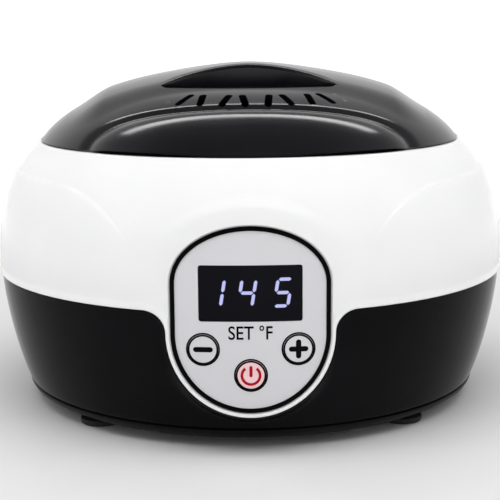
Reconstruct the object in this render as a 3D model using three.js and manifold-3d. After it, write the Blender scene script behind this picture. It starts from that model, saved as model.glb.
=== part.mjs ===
// Paraffin wax bath: a round tabletop wax warmer with a lift-off lid, a removable pot and a front panel.
// Units are millimetres. +Z is up, -Y is the front, and the origin is on the table under the centre.

import * as THREE from 'three';
import { mergeVertices } from 'three/addons/utils/BufferGeometryUtils.js';
import Module from 'manifold-3d';

const wasm = await Module();
wasm.setup();

// ---------- driving dimensions ----------
const GAP = 0.3;                 // clearance between pieces that sit together
const WALL = 2.5;                // moulded wall thickness
const ROUND = 32;                // facets round the big turned pieces
const FINE = 8;                  // facets round the small ones

const FOOT_LIFT = 2.5;           // the rubber feet hold the base plate this far off the table
const BASE_TOP = 7.8;            // seam between base plate and lower shell
const SEAM_Z = 54.5;             // seam between the black lower and the white upper shell
const DECK_Z = 108.2;            // top of the upper shell, where the lid sits
const LID_EDGE_Z = DECK_Z + 0.4;
const GRIP_Z = 140;              // top of the lid's grip, the highest point

// outside of the body as [z, radius]; widest just above the seam
const BODY = [[2.5, 90.6], [8, 96.4], [15, 99], [28, 102.8], [44, 105.6], [60, 107.5], [78, 105.6],
  [96, 99], [108.2, 89.7]];
// outside of the lid's dome as [radius, z], without the grip
const DOME = [[88.5, 108.6], [82, 115.5], [72, 122.2], [60, 127.7], [45, 131.2], [22, 133.2], [0, 133.6]];

const PANEL_Y = -104;            // front of the control panel on the centre line
const PANEL_R = 160;             // the panel curves round a vertical axis with this radius
const PANEL_AXIS_Y = PANEL_Y + PANEL_R;
const PANEL_FACETS = 96;
const BEZEL_HALF = 29;           // half width of the panel's black surround
const BEZEL_LOW_Z = 45.8;        // centre of the surround's lower half circle
const BEZEL_HIGH_Z = 64.5;       // centre of its upper half ellipse
const BEZEL_RISE = 21;           // height of that half ellipse
const BEZEL_WIDTH = 1.5;
const TONGUE_R = 31;             // the white shell runs down round the panel with this radius
const TONGUE_FILLET = 8.5;

const WINDOW = { x: 37.6, z0: 50.8, z1: 71.5 };
const BUTTONS = { minus_button: [-17.3, 40.5], plus_button: [17.3, 40.5], power_button: [0, 30.9] };
const BUTTON_R = 5.6;
const BUTTON_HOLE_R = BUTTON_R + GAP;
const BUTTON_FLANGE_R = 6.9;
const FLANGE_Y = PANEL_Y + 4.8;  // front of the buttons' retaining flanges
const STEM_END_Y = PANEL_Y + 7.3;
const BEZEL_PROUD = 0.4;         // the surround stands this far in front of the panel's curve
const PLATE_INSET = 0.3;         // the grey plate lies this far behind it
const WINDOW_INSET = 0.5;
const PLATE_BACK = 2.5;          // back of the plate and of the window, behind the curve

const MODULE_FRONT_Y = PANEL_Y + 4.1;
const BOARD_Y = PANEL_Y + 13.2;  // front of the control board
const BOARD_T = 1.6;
const BOARD_POSTS = [[-24, 61], [24, 61], [-11, 25.5], [11, 25.5]];

const WELL_R = 72;               // inside radius of the fixed heating well
const WELL_T = 1.2;
const WELL_FLANGE_R = 86;
const WELL_BOTTOM = 44;
const FLANGE_Z = 105.6;          // underside of the well's flange
const LEDGE_Z = 104.2;           // top of the ledge inside the upper shell
const LEDGE_R = 76.5;

const POT_R = 70;                // outside radius of the removable pot
const POT_T = 1.5;
const POT_BOTTOM = 46.5;
const POT_CORNER = 2;            // bevel round the pot's foot
const POT_RIM_R = 75.8;
const POT_RIM_Z = 107.1;
const BAIL_R = 68;
const BAIL_Z = 110.6;            // height of the bail's pivots
const BAIL_WIRE = 1.5;           // radius of its wire

const GRIP_HALF = 60;            // half length of the raised grip
const GRIP_WAIST = 13;           // half width of the grip between the finger recesses
const RECESS_REACH = 45;         // from the lid's middle to the far edge of each finger recess
const RECESS_HALF = 36;
const RECESS_FLOOR = 117.5;
const VENT_TURN = 2.7;           // the vent slots' centre line, degrees right of the front
const VENT_PITCH = 15.75;

const POWER_BOARD_Z = 12;
const POWER_BOARD = { x: 42, y0: 4, y1: 62 };
const BOARD_CORNERS = [[-38, 9], [38, 9], [-38, 57], [38, 57]];
const ON_BOARD = POWER_BOARD_Z + BOARD_T + GAP;

// places round the base and the well: a radius, and degrees from the front towards the right
const FOOT_RING = 85;
const FOOT_ANGLES = [45, 135, 225, 315];
const SCREW_RING = 82;
const SCREW_ANGLES = [30, 150, 210, 330];
const WELL_SCREW_RING = 79.8;
const WELL_SCREW_ANGLES = [60, 180, 300];
const INLET_Z = 30;
const INLET_Y = 103.2;          // outer face of the rear pad that holds the mains inlet

// ---------- materials ----------
const paint = (color, roughness, metalness = 0) =>
  new THREE.MeshStandardMaterial({ color, roughness, metalness });
const BLACK_GLOSS = paint(0x16161a, 0.15);
const WHITE_GLOSS = paint(0xf3f3f0, 0.2);
const PANEL_GREY = paint(0xd3d2d9, 0.35);
const WINDOW_DARK = paint(0x101016, 0.1);
const MATT_BLACK = paint(0x1c1c1e, 0.6);
const RUBBER = paint(0x1a1a1a, 0.9);
const ALUMINIUM = paint(0xc8cacc, 0.35, 1);
const DARK_COAT = paint(0x33353a, 0.4, 0.4);
const STEEL = paint(0xb9bcc0, 0.3, 1);
const BRASS = paint(0xc9a54a, 0.3, 1);
const BOARD_GREEN = paint(0x1f6b3a, 0.5);
const MICA = paint(0xb39a6b, 0.6);
const FIBRE = paint(0xe6e0cf, 0.95);
const SILICONE = paint(0xa8443a, 0.7);
const WIRE_SLEEVE = paint(0xd8d6cc, 0.6);
const BLUE_CASE = paint(0x2457a6, 0.4);

// ---------- solids ----------
function signedVolume(position, index) {
  const [a, b, c] = [new THREE.Vector3(), new THREE.Vector3(), new THREE.Vector3()];
  let total = 0;
  for (let i = 0; i < index.count; i += 3) {
    a.fromBufferAttribute(position, index.getX(i));
    b.fromBufferAttribute(position, index.getX(i + 1));
    c.fromBufferAttribute(position, index.getX(i + 2));
    total += a.dot(b.cross(c));
  }
  return total;
}

// A closed three.js geometry becomes a manifold solid with its faces pointing out.
function solid(geometry) {
  const bare = geometry.clone();
  bare.deleteAttribute('normal');
  bare.deleteAttribute('uv');
  const merged = mergeVertices(bare, 1e-4);
  const inward = signedVolume(merged.attributes.position, merged.index) < 0;
  const triangles = [];
  for (let i = 0; i < merged.index.count; i += 3) {
    const [p, q, r] = [0, 1, 2].map((k) => merged.index.getX(i + k));
    if (p !== q && q !== r && r !== p) {
      triangles.push(p, inward ? r : q, inward ? q : r);
    }
  }
  return new wasm.Manifold(new wasm.Mesh({
    numProp: 3,
    vertProperties: new Float32Array(merged.attributes.position.array),
    triVerts: new Uint32Array(triangles),
  }));
}

const join = (...solids) => solids.reduce((sum, piece) => sum.add(piece));
const cut = (body, ...tools) => tools.reduce((rest, tool) => rest.subtract(tool), body);

// Turned about Z from a closed outline of [radius, z] points.
function turned(outline, facets = ROUND) {
  const points = outline.map(([r, z]) => new THREE.Vector2(r, z));
  if (outline[0][0] > 0) {
    points.push(points[0].clone());
  }
  return solid(new THREE.LatheGeometry(points, facets).rotateX(Math.PI / 2));
}

// A plan outline (x, y) raised from z0 to z1.
function raised(shape, z0, z1, curveSegments = FINE) {
  const options = { depth: z1 - z0, bevelEnabled: false, curveSegments };
  return solid(new THREE.ExtrudeGeometry(shape, options).translate(0, 0, z0));
}

// A front-view outline (x, z) pushed from y0 to y1.
function pushed(shape, y0, y1, curveSegments = FINE) {
  const options = { depth: y1 - y0, bevelEnabled: false, curveSegments };
  return solid(new THREE.ExtrudeGeometry(shape, options).rotateX(Math.PI / 2).translate(0, y1, 0));
}

function block(x0, x1, y0, y1, z0, z1) {
  const geometry = new THREE.BoxGeometry(x1 - x0, y1 - y0, z1 - z0);
  return solid(geometry.translate((x0 + x1) / 2, (y0 + y1) / 2, (z0 + z1) / 2));
}

function post(x, y, radius, z0, z1, facets = FINE) {
  const geometry = new THREE.CylinderGeometry(radius, radius, z1 - z0, facets).rotateX(Math.PI / 2);
  return solid(geometry.translate(x, y, (z0 + z1) / 2));
}

function rodAlongY(x, z, radius, y0, y1, facets = FINE) {
  const geometry = new THREE.CylinderGeometry(radius, radius, y1 - y0, facets);
  return solid(geometry.translate(x, (y0 + y1) / 2, z));
}

function rodAlongX(y, z, radius, x0, x1, facets = FINE) {
  const geometry = new THREE.CylinderGeometry(radius, radius, x1 - x0, facets).rotateZ(Math.PI / 2);
  return solid(geometry.translate((x0 + x1) / 2, y, z));
}

// A cable of elliptical section along a smooth curve through the given points.
function cable(points, halfWidth, halfHeight, steps = 10) {
  const section = new THREE.Shape().absellipse(0, 0, halfWidth, halfHeight, 0, 2 * Math.PI);
  const path = new THREE.CatmullRomCurve3(points.map(([x, y, z]) => new THREE.Vector3(x, y, z)));
  return solid(new THREE.ExtrudeGeometry(section, { steps, curveSegments: 4, extrudePath: path }));
}

// x and y of a place on a circle, by its angle from the front towards the right
function around(radius, degrees) {
  const angle = THREE.MathUtils.degToRad(degrees);
  return [radius * Math.sin(angle), -radius * Math.cos(angle)];
}

// ---------- shared shapes ----------
const bodyCurve = new THREE.SplineCurve(BODY.map(([z, r]) => new THREE.Vector2(z, r)));
const bodyPoints = bodyCurve.getPoints(40);

function bodyRadius(z) {
  const next = bodyPoints.findIndex((point) => point.x > z);
  if (next < 1) {
    return next === 0 ? bodyPoints[0].y : bodyPoints.at(-1).y;
  }
  const [low, high] = [bodyPoints[next - 1], bodyPoints[next]];
  return THREE.MathUtils.mapLinear(z, low.x, high.x, low.y, high.y);
}

// The body's wall between two heights: out and up on the outside, back down on the inside.
function bodyWall(z0, z1, rows) {
  const heights = Array.from({ length: rows + 1 }, (_, i) => z0 + (z1 - z0) * i / rows);
  const outside = heights.map((z) => [bodyRadius(z), z]);
  const inside = heights.map((z) => [bodyRadius(z) - WALL, z]).reverse();
  return [...outside, ...inside];
}

// The panel's outline grown by a margin: half circle below, straight sides, half ellipse on top.
function panelShape(margin, rise = BEZEL_RISE + margin) {
  const half = BEZEL_HALF + margin;
  const shape = new THREE.Shape();
  shape.moveTo(-half, BEZEL_LOW_Z);
  shape.absarc(0, BEZEL_LOW_Z, half, Math.PI, 2 * Math.PI);
  shape.lineTo(half, BEZEL_HIGH_Z);
  shape.absellipse(0, BEZEL_HIGH_Z, half, rise, 0, Math.PI);
  return shape;
}

// The white tongue: it leaves the seam in two fillets and passes under the panel.
function tongueShape(margin) {
  const radius = TONGUE_R + margin;
  const fillet = TONGUE_FILLET - margin;
  const corner = TONGUE_R + TONGUE_FILLET;
  const low = SEAM_Z - TONGUE_FILLET;
  const shape = new THREE.Shape();
  shape.moveTo(-corner, SEAM_Z + 6);
  shape.lineTo(-corner, low + fillet);
  shape.absarc(-corner, low, fillet, Math.PI / 2, 0, true);
  shape.absarc(0, low, radius, Math.PI, 2 * Math.PI);
  shape.absarc(corner, low, fillet, Math.PI, Math.PI / 2, true);
  shape.lineTo(corner, SEAM_Z + 6);
  return shape;
}

// Everything between two radii of the panel's own vertical axis.
function panelLayer(outer, inner) {
  const ring = [[inner, 0], [outer, 0], [outer, 120], [inner, 120]];
  return turned(ring, PANEL_FACETS).translate([0, PANEL_AXIS_Y, 0]);
}

function circleShape(x, z, radius) {
  return new THREE.Shape().absarc(x, z, radius, 0, 2 * Math.PI);
}

function rectangleShape(x0, x1, z0, z1) {
  return new THREE.Shape([[x0, z0], [x1, z0], [x1, z1], [x0, z1]].map((p) => new THREE.Vector2(...p)));
}

// The clearance holes for the screws that hold the well's flange and its seal.
function wellScrewHoles() {
  return WELL_SCREW_ANGLES.map((angle) => post(...around(WELL_SCREW_RING, angle), 1.9, 95, 110));
}

// A pan-head screw standing on z = 0 with its shank pointing up.
function screw(headRadius, headHeight, shankRadius, length) {
  return turned([[0, 0], [headRadius * 0.75, 0], [headRadius, headHeight * 0.5],
    [headRadius, headHeight], [shankRadius, headHeight], [shankRadius, length], [0, length]], FINE);
}

// ---------- lid ----------
// Height of the raised grip: a long arch along X that crowns gently towards front and back.
function gripHeight(x, y) {
  const drop = GRIP_Z - 128;
  return GRIP_Z - drop * Math.abs(x / GRIP_HALF) ** 1.7 - 0.004 * y * y;
}

function gripPad(shrink) {
  const base = 120 - shrink;
  const middle = 124;
  const [length, width] = [2 * (GRIP_HALF + 2 - shrink), 2 * (38 - shrink)];
  const geometry = new THREE.BoxGeometry(length, width, 2 * (middle - base), 12, 6, 1);
  const position = geometry.translate(0, 0, middle).attributes.position;
  for (let i = 0; i < position.count; i += 1) {
    if (position.getZ(i) > middle) {
      position.setZ(i, gripHeight(position.getX(i), position.getY(i)) - shrink);
    }
  }
  return solid(geometry);
}

// A finger recess in plan: a round outer edge and a waisted inner one, meeting in two points.
function recessShape(margin) {
  const half = RECESS_HALF + 1.4 * margin;
  const shape = new THREE.Shape();
  shape.moveTo(-half, -RECESS_HALF);
  shape.quadraticCurveTo(0, RECESS_HALF - 2 * (RECESS_REACH + margin), half, -RECESS_HALF);
  shape.quadraticCurveTo(0, RECESS_HALF - 2 * GRIP_WAIST + 2 * margin, -half, -RECESS_HALF);
  return shape;
}

function ventSlot(pairAngle, side) {
  const [innerX, innerY] = around(56.5, pairAngle + side * 2.65);
  const [outerX, outerY] = around(64, pairAngle + side * 4);
  const length = Math.hypot(outerX - innerX, outerY - innerY);
  const slot = join(
    block(0, length, -1.45, 1.45, 110, 140),
    post(0, 0, 1.45, 110, 140),
    post(length, 0, 1.45, 110, 140),
  );
  const turn = THREE.MathUtils.radToDeg(Math.atan2(outerY - innerY, outerX - innerX));
  return slot.rotate([0, 0, turn]).translate([innerX, innerY, 0]);
}

function makeLid() {
  const domeCurve = new THREE.SplineCurve(DOME.map(([r, z]) => new THREE.Vector2(r, z)));
  const outside = domeCurve.getPoints(9).map((p) => [Math.max(p.x, 0), p.y]);
  const inside = outside.map(([r, z]) => [r * 0.972, z - 2.2]);
  const dome = turned([[0, LID_EDGE_Z], ...outside]);
  const hollow = turned([[0, LID_EDGE_Z - 5], [inside[0][0], LID_EDGE_Z - 5], ...inside]);
  const skirt = turned([[83.8, 107.3], [86.2, 107.3], [86.2, 110], [83.8, 110]]);
  const recess = raised(recessShape(0), RECESS_FLOOR, 150);
  const recessWall = raised(recessShape(WALL), RECESS_FLOOR - WALL, 150);
  const recesses = join(recess, recess.rotate([0, 0, 180]));
  const recessWalls = join(recessWall, recessWall.rotate([0, 0, 180]));
  const inner = cut(join(hollow, gripPad(WALL)), recessWalls);
  let lid = cut(join(dome, gripPad(0)), recesses, inner).add(skirt);
  for (const pair of [-1.5, -0.5, 0.5, 1.5]) {
    for (const side of [-1, 1]) {
      lid = lid.subtract(ventSlot(VENT_TURN + pair * VENT_PITCH, side));
    }
  }
  return lid;
}

// ---------- casing ----------
function makeUpperShell() {
  const wall = bodyWall(SEAM_Z + GAP, DECK_Z, 6);
  const deck = turned([[86.9, 100], [93, 100], [89.6, DECK_Z], [86.9, DECK_Z]]);
  const ledgeFoot = LEDGE_Z - WALL;
  const ledge = turned([[LEDGE_R, ledgeFoot], [90, ledgeFoot], [90, LEDGE_Z], [LEDGE_R, LEDGE_Z]]);
  const tongue = pushed(tongueShape(0), -120, -60).intersect(turned(bodyWall(10, SEAM_Z + 6, 3)));
  const bossPrism = pushed(panelShape(5), -120, -60).intersect(
    join(pushed(tongueShape(0), -120, -60), block(-60, 60, -120, -60, SEAM_Z + GAP, 120)));
  const inFront = bossPrism.subtract(panelLayer(PANEL_R, 1));
  const boss = bossPrism.intersect(panelLayer(PANEL_R, PANEL_R - 6));
  const panelHole = pushed(panelShape(GAP), -120, -90);
  const shell = cut(join(turned(wall), deck, ledge, tongue), inFront).add(boss);
  return cut(shell, panelHole, ...wellScrewHoles());
}

function makeLowerShell() {
  const wall = turned(bodyWall(BASE_TOP + GAP, SEAM_Z, 5));
  let shell = wall.subtract(pushed(tongueShape(GAP), -130, -60));
  for (const angle of SCREW_ANGLES) {
    const [x, y] = around(SCREW_RING, angle);
    const rib = block(-2, 2, -95, -SCREW_RING, BASE_TOP + GAP, 24).rotate([0, 0, angle]);
    shell = shell.add(join(post(x, y, 4.5, BASE_TOP + GAP, 26), rib));
    shell = shell.subtract(post(x, y, 1.8, 0, 22));
  }
  const inletPad = block(-17, 17, 96, INLET_Y, INLET_Z - 10, INLET_Z + 10);
  const inletHole = block(-12.3, 12.3, 80, 120, INLET_Z - 6.8, INLET_Z + 6.8);
  const inletFace = block(-17, 17, INLET_Y, 120, INLET_Z - 10, INLET_Z + 10);
  return cut(shell.add(inletPad), inletHole, inletFace);
}

function makeBasePlate() {
  let plate = turned([[0, FOOT_LIFT], [88, FOOT_LIFT], [92.5, 3.6], [95.3, 5.6], [96.3, BASE_TOP],
    [93.6, BASE_TOP], [91.5, 5.6], [88, 5], [0, 5]]);
  for (const angle of SCREW_ANGLES) {
    plate = plate.subtract(post(...around(SCREW_RING, angle), 1.9, 0, 10));
  }
  for (const angle of FOOT_ANGLES) {
    plate = plate.subtract(post(...around(FOOT_RING, angle), 3.1, 0, 10));
  }
  for (const [x, y] of BOARD_CORNERS) {
    plate = plate.add(post(x, y, 3, 5, POWER_BOARD_Z - GAP)).subtract(post(x, y, 1.4, 6, 20));
  }
  for (let row = 0; row < 4; row += 1) {
    const y = -50 + row * 12;
    plate = plate.subtract(join(block(-34, -8, y, y + 3, 0, 10), block(8, 34, y, y + 3, 0, 10)));
  }
  return plate;
}

function makeFoot() {
  return turned([[0, 0], [7.2, 0], [8, 0.8], [8, FOOT_LIFT - 0.1], [2.8, FOOT_LIFT - 0.1], [2.8, 5.3],
    [3.9, 5.6], [2.6, 7.4], [0, 7.4]], 16);
}

// ---------- control panel ----------
function makeBezel() {
  const inside = pushed(panelShape(-BEZEL_WIDTH), -130, -80);
  const ring = pushed(panelShape(0), -120, -90).subtract(inside);
  return ring.intersect(panelLayer(PANEL_R + BEZEL_PROUD, PANEL_R - 5));
}

function makePanelPlate() {
  const holes = Object.values(BUTTONS).map(([x, z]) => {
    return pushed(circleShape(x, z, BUTTON_HOLE_R), -120, -80, 10);
  });
  const window = pushed(rectangleShape(-WINDOW.x / 2, WINDOW.x / 2, WINDOW.z0, WINDOW.z1), -120, -80);
  const layer = panelLayer(PANEL_R - PLATE_INSET, PANEL_R - PLATE_BACK);
  const face = pushed(panelShape(-BEZEL_WIDTH - GAP), -120, -80).intersect(layer);
  let plate = cut(face, ...holes, window);
  for (const [x, z] of BOARD_POSTS) {
    const boss = rodAlongY(x, z, 2.4, PANEL_Y, BOARD_Y - GAP).intersect(panelLayer(PANEL_R - 1, 1));
    plate = plate.add(boss).subtract(rodAlongY(x, z, 1.5, BOARD_Y - 8, BOARD_Y));
  }
  return plate;
}

function makeWindow() {
  const pane = rectangleShape(-WINDOW.x / 2 + GAP, WINDOW.x / 2 - GAP, WINDOW.z0 + GAP, WINDOW.z1 - GAP);
  return pushed(pane, -120, -80).intersect(panelLayer(PANEL_R - WINDOW_INSET, PANEL_R - PLATE_BACK));
}

function makeDisplayModule() {
  return block(-18.8, 18.8, MODULE_FRONT_Y, BOARD_Y - GAP, 51.6, 70.7);
}

function makeButton(x, z) {
  const disc = pushed(circleShape(x, z, BUTTON_R), -120, FLANGE_Y, 10);
  const cap = disc.intersect(panelLayer(PANEL_R, 1));
  const flange = rodAlongY(x, z, BUTTON_FLANGE_R, FLANGE_Y, FLANGE_Y + 1, 16);
  const stem = rodAlongY(x, z, 2, FLANGE_Y, STEM_END_Y);
  return join(cap, flange, stem);
}

function makeControlBoard() {
  const board = block(-27, 27, BOARD_Y, BOARD_Y + BOARD_T, 19, 76);
  return cut(board, ...BOARD_POSTS.map(([x, z]) => rodAlongY(x, z, 1.6, -100, -80)));
}

function makeTactSwitch(x, z) {
  const body = block(x - 3, x + 3, BOARD_Y - 3.8, BOARD_Y - GAP, z - 3, z + 3);
  return body.add(rodAlongY(x, z, 1.7, BOARD_Y - 5, BOARD_Y - 3));
}

function makeBoardScrew(x, z) {
  return screw(2.4, 1.5, 1.2, 8).rotate([90, 0, 0]).translate([x, BOARD_Y + BOARD_T + 0.2 + 1.5, z]);
}

function makePowerLed() {
  return rodAlongY(7.5, 23, 1.5, BOARD_Y - 5, BOARD_Y - GAP);
}

// ---------- heating well, pot and bail ----------
function makeWell() {
  const outer = WELL_R + WELL_T;
  const well = turned([[0, WELL_BOTTOM], [outer - 5, WELL_BOTTOM], [outer - 1.5, WELL_BOTTOM + 1.5],
    [outer, WELL_BOTTOM + 5], [outer, FLANGE_Z], [WELL_FLANGE_R, FLANGE_Z],
    [WELL_FLANGE_R, FLANGE_Z + WELL_T], [WELL_R, FLANGE_Z + WELL_T], [WELL_R, WELL_BOTTOM + 5.5],
    [WELL_R - 1.5, WELL_BOTTOM + 2.4], [WELL_R - 5, WELL_BOTTOM + WELL_T], [0, WELL_BOTTOM + WELL_T]]);
  return cut(well, ...wellScrewHoles());
}

function makePot() {
  const inner = POT_R - POT_T;
  const inside = POT_BOTTOM + POT_T;
  let pot = turned([[0, POT_BOTTOM], [POT_R - POT_CORNER, POT_BOTTOM], [POT_R, POT_BOTTOM + POT_CORNER],
    [POT_R, POT_RIM_Z], [POT_RIM_R, POT_RIM_Z], [POT_RIM_R, POT_RIM_Z + 1.2], [inner, POT_RIM_Z + 1.2],
    [inner, inside + POT_T], [inner - POT_T, inside], [0, inside]]);
  for (const side of [-1, 1]) {
    const ear = block(70.6, 73.6, -4, 4, POT_RIM_Z + 0.6, BAIL_Z + 3.2);
    const eye = rodAlongX(0, BAIL_Z, BAIL_WIRE + 0.5, 60, 80);
    pot = pot.add(ear.subtract(eye).rotate([0, 0, side < 0 ? 180 : 0]));
  }
  return pot;
}

function makeBail() {
  const points = [[76, 0, BAIL_Z], [72, 0, BAIL_Z], [69, -0.6, BAIL_Z]];
  for (let degrees = 84; degrees >= -84; degrees -= 12) {
    const [x, y] = around(BAIL_R, degrees);
    points.push([x, y, BAIL_Z]);
  }
  points.push([-69, -0.6, BAIL_Z], [-72, 0, BAIL_Z], [-76, 0, BAIL_Z]);
  return cable(points, BAIL_WIRE, BAIL_WIRE, 44);
}

function makeHeaterBand() {
  const band = turned([[73.6, 56], [75, 56], [75, 92], [73.6, 92]]);
  const split = block(-3, 3, 60, 90, 40, 110);
  const tabs = [-1, 1].map((side) => block(side * 7 - 3, side * 7 + 3, 74, 82, 60, 62));
  return join(band.subtract(split), ...tabs);
}

function makeInsulation() {
  const sleeve = turned([[75.5, 52], [80.5, 52], [80.5, 97], [75.5, 97]]);
  return sleeve.subtract(block(-14, 14, 60, 90, 40, 110));
}

function makeSealRing() {
  const [low, high] = [LEDGE_Z + 0.1, FLANGE_Z - 0.2];
  const ring = turned([[LEDGE_R + 0.5, low], [WELL_FLANGE_R, low], [WELL_FLANGE_R, high],
    [LEDGE_R + 0.5, high]]);
  return cut(ring, ...wellScrewHoles());
}

function makeSensor() {
  return turned([[0, 33], [2.5, 33], [2.5, WELL_BOTTOM - GAP], [0, WELL_BOTTOM - GAP]], FINE);
}

function makeSensorClip() {
  const plate = block(-11, 11, -5, 5, WELL_BOTTOM - 2, WELL_BOTTOM - 0.8);
  const collar = post(0, 0, 4.5, 37, WELL_BOTTOM - 0.8);
  return join(plate, collar).subtract(post(0, 0, 2.8, 30, 50));
}

function makeThermalFuse() {
  return join(rodAlongX(-22, 40.4, 2.2, -8, 8), rodAlongX(-22, 40.4, 0.6, -16, 16));
}

// ---------- power electronics and inlet ----------
function makePowerBoard() {
  const { x, y0, y1 } = POWER_BOARD;
  const board = block(-x, x, y0, y1, POWER_BOARD_Z, POWER_BOARD_Z + BOARD_T);
  return cut(board, ...BOARD_CORNERS.map(([cx, cy]) => post(cx, cy, 1.6, 0, 20)));
}

function makeTransformer() {
  const core = block(-34, -6, 16, 40, ON_BOARD, ON_BOARD + 20);
  return join(core, block(-30, -10, 13, 43, ON_BOARD + 4, ON_BOARD + 16));
}

function makeFuse() {
  const ends = [block(-2, 3, 46, 52, ON_BOARD, ON_BOARD + 6), block(13, 18, 46, 52, ON_BOARD, ON_BOARD + 6)];
  return join(rodAlongX(49, ON_BOARD + 4, 2.4, -2, 18), ...ends);
}

function makeInlet() {
  const flange = block(-14.5, 14.5, INLET_Y + GAP, INLET_Y + 1.8, INLET_Z - 8.5, INLET_Z + 8.5);
  const body = block(-12, 12, 83, INLET_Y + 1, INLET_Z - 6.5, INLET_Z + 6.5);
  const lobes = [-1, 1].map((side) => rodAlongY(side * 4.3, INLET_Z, 4.6, 88, 110, 12));
  const socket = join(...lobes, block(-4.3, 4.3, 88, 110, INLET_Z - 4.6, INLET_Z + 4.6));
  const pinHoles = [-1, 1].map((side) => rodAlongY(side * 4.3, INLET_Z, 1.5, 80, 90));
  return cut(join(flange, body), socket, ...pinHoles);
}

function makeInletPin(side) {
  return rodAlongY(side * 4.3, INLET_Z, 1.15, 78, 100);
}

// ---------- the object ----------
const object = new THREE.Group();

function add(name, piece, material) {
  const { vertProperties, triVerts } = piece.getMesh();
  const geometry = new THREE.BufferGeometry();
  geometry.setAttribute('position', new THREE.BufferAttribute(new Float32Array(vertProperties), 3));
  geometry.setIndex(new THREE.BufferAttribute(new Uint32Array(triVerts), 1));
  const mesh = new THREE.Mesh(geometry, material);
  mesh.name = name;
  object.add(mesh);
}

add('lid_shell', makeLid(), BLACK_GLOSS);
add('upper_shell', makeUpperShell(), WHITE_GLOSS);
add('lower_shell', makeLowerShell(), BLACK_GLOSS);
add('base_plate', makeBasePlate(), MATT_BLACK);
FOOT_ANGLES.forEach((angle, i) => {
  add(`rubber_foot_${i + 1}`, makeFoot().translate([...around(FOOT_RING, angle), 0]), RUBBER);
});
SCREW_ANGLES.forEach((angle, i) => {
  add(`base_screw_${i + 1}`, screw(3, 1.6, 1.5, 17).translate([...around(SCREW_RING, angle), 0.7]), STEEL);
});

add('panel_bezel', makeBezel(), BLACK_GLOSS);
add('panel_plate', makePanelPlate(), PANEL_GREY);
add('display_window', makeWindow(), WINDOW_DARK);
add('display_module', makeDisplayModule(), MATT_BLACK);
add('control_board', makeControlBoard(), BOARD_GREEN);
Object.entries(BUTTONS).forEach(([name, [x, z]], i) => {
  add(name, makeButton(x, z), PANEL_GREY);
  add(`tact_switch_${i + 1}`, makeTactSwitch(x, z), MATT_BLACK);
});
BOARD_POSTS.forEach(([x, z], i) => add(`board_screw_${i + 1}`, makeBoardScrew(x, z), STEEL));
add('power_led', makePowerLed(), SILICONE);

add('heating_well', makeWell(), ALUMINIUM);
add('well_seal_ring', makeSealRing(), SILICONE);
add('heater_band', makeHeaterBand(), MICA);
add('insulation_sleeve', makeInsulation(), FIBRE);
add('temperature_sensor', makeSensor(), STEEL);
add('sensor_clip', makeSensorClip(), ALUMINIUM);
add('thermal_fuse', makeThermalFuse(), STEEL);
WELL_SCREW_ANGLES.forEach((angle, i) => {
  const wellScrew = screw(2.4, 1.3, 1.5, 9).rotate([180, 0, 0]);
  add(`well_screw_${i + 1}`, wellScrew.translate([...around(WELL_SCREW_RING, angle), 108.5]), STEEL);
});
add('wax_pot', makePot(), DARK_COAT);
add('bail_handle', makeBail(), STEEL);

add('power_board', makePowerBoard(), BOARD_GREEN);
BOARD_CORNERS.forEach(([x, y], i) => {
  const boardScrew = screw(2.4, 1.4, 1.1, 6).rotate([180, 0, 0]);
  add(`power_board_screw_${i + 1}`, boardScrew.translate([x, y, ON_BOARD + 1.3]), STEEL);
});
add('transformer', makeTransformer(), MATT_BLACK);
add('relay', block(12, 31, 14, 29, ON_BOARD, ON_BOARD + 16), BLUE_CASE);
add('filter_capacitor', post(22, 38, 6, ON_BOARD, ON_BOARD + 18, 16), MATT_BLACK);
add('mains_fuse', makeFuse(), STEEL);
add('power_inlet', makeInlet(), MATT_BLACK);
[-1, 1].forEach((side, i) => add(`inlet_pin_${i + 1}`, makeInletPin(side), BRASS));

// the wiring: each lead's route, and half the width and height of its section
const LEADS = {
  mains_lead: { route: [[0, 76, INLET_Z], [0, 72, 27], [0, 65, 19], [0, 60, 15.8]], half: [3, 1.2] },
  heater_lead: {
    route: [[-20, 56, 16], [-22, 72, 22], [-20, 87, 40], [-12, 88, 54], [-7, 85, 61]],
    half: [1.6, 1.6],
  },
  sensor_lead: {
    route: [[0, 0, 32], [0, -1, 29], [6, -40, 27], [8, -80, 30], [8, -88.6, 34]],
    half: [1.3, 1.3],
  },
  ribbon_cable: {
    route: [[-6, -88.7, 30], [-6, -80, 19], [-6, -50, 10.5], [-6, -10, 10.5], [-6, 2, 10.5]],
    half: [6, 0.7],
  },
};
Object.entries(LEADS).forEach(([name, { route, half }]) => add(name, cable(route, ...half), WIRE_SLEEVE));

export default object;
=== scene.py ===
"""Tabletop paraffin wax bath: the looks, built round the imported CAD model.

Shapes are written in millimetres, as in the CAD, and become metres when a piece is made.
+Z is up, -Y is the front, and the origin is on the table under the centre.
"""
import math

import bmesh
import bpy
import numpy as np
from mathutils import Matrix, Vector
from mathutils.geometry import delaunay_2d_cdt


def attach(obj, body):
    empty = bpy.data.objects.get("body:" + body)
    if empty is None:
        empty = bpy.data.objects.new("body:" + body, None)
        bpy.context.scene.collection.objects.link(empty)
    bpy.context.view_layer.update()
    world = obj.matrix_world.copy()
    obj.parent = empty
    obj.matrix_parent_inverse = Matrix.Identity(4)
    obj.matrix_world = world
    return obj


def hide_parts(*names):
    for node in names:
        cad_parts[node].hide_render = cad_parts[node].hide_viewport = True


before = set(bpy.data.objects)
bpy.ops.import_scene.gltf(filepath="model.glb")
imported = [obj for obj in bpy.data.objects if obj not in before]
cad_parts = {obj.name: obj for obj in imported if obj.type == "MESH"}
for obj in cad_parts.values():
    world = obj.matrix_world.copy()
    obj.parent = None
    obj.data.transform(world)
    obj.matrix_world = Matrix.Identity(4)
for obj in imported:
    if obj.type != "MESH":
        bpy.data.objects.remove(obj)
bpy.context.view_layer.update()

MM = 0.001
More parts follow.
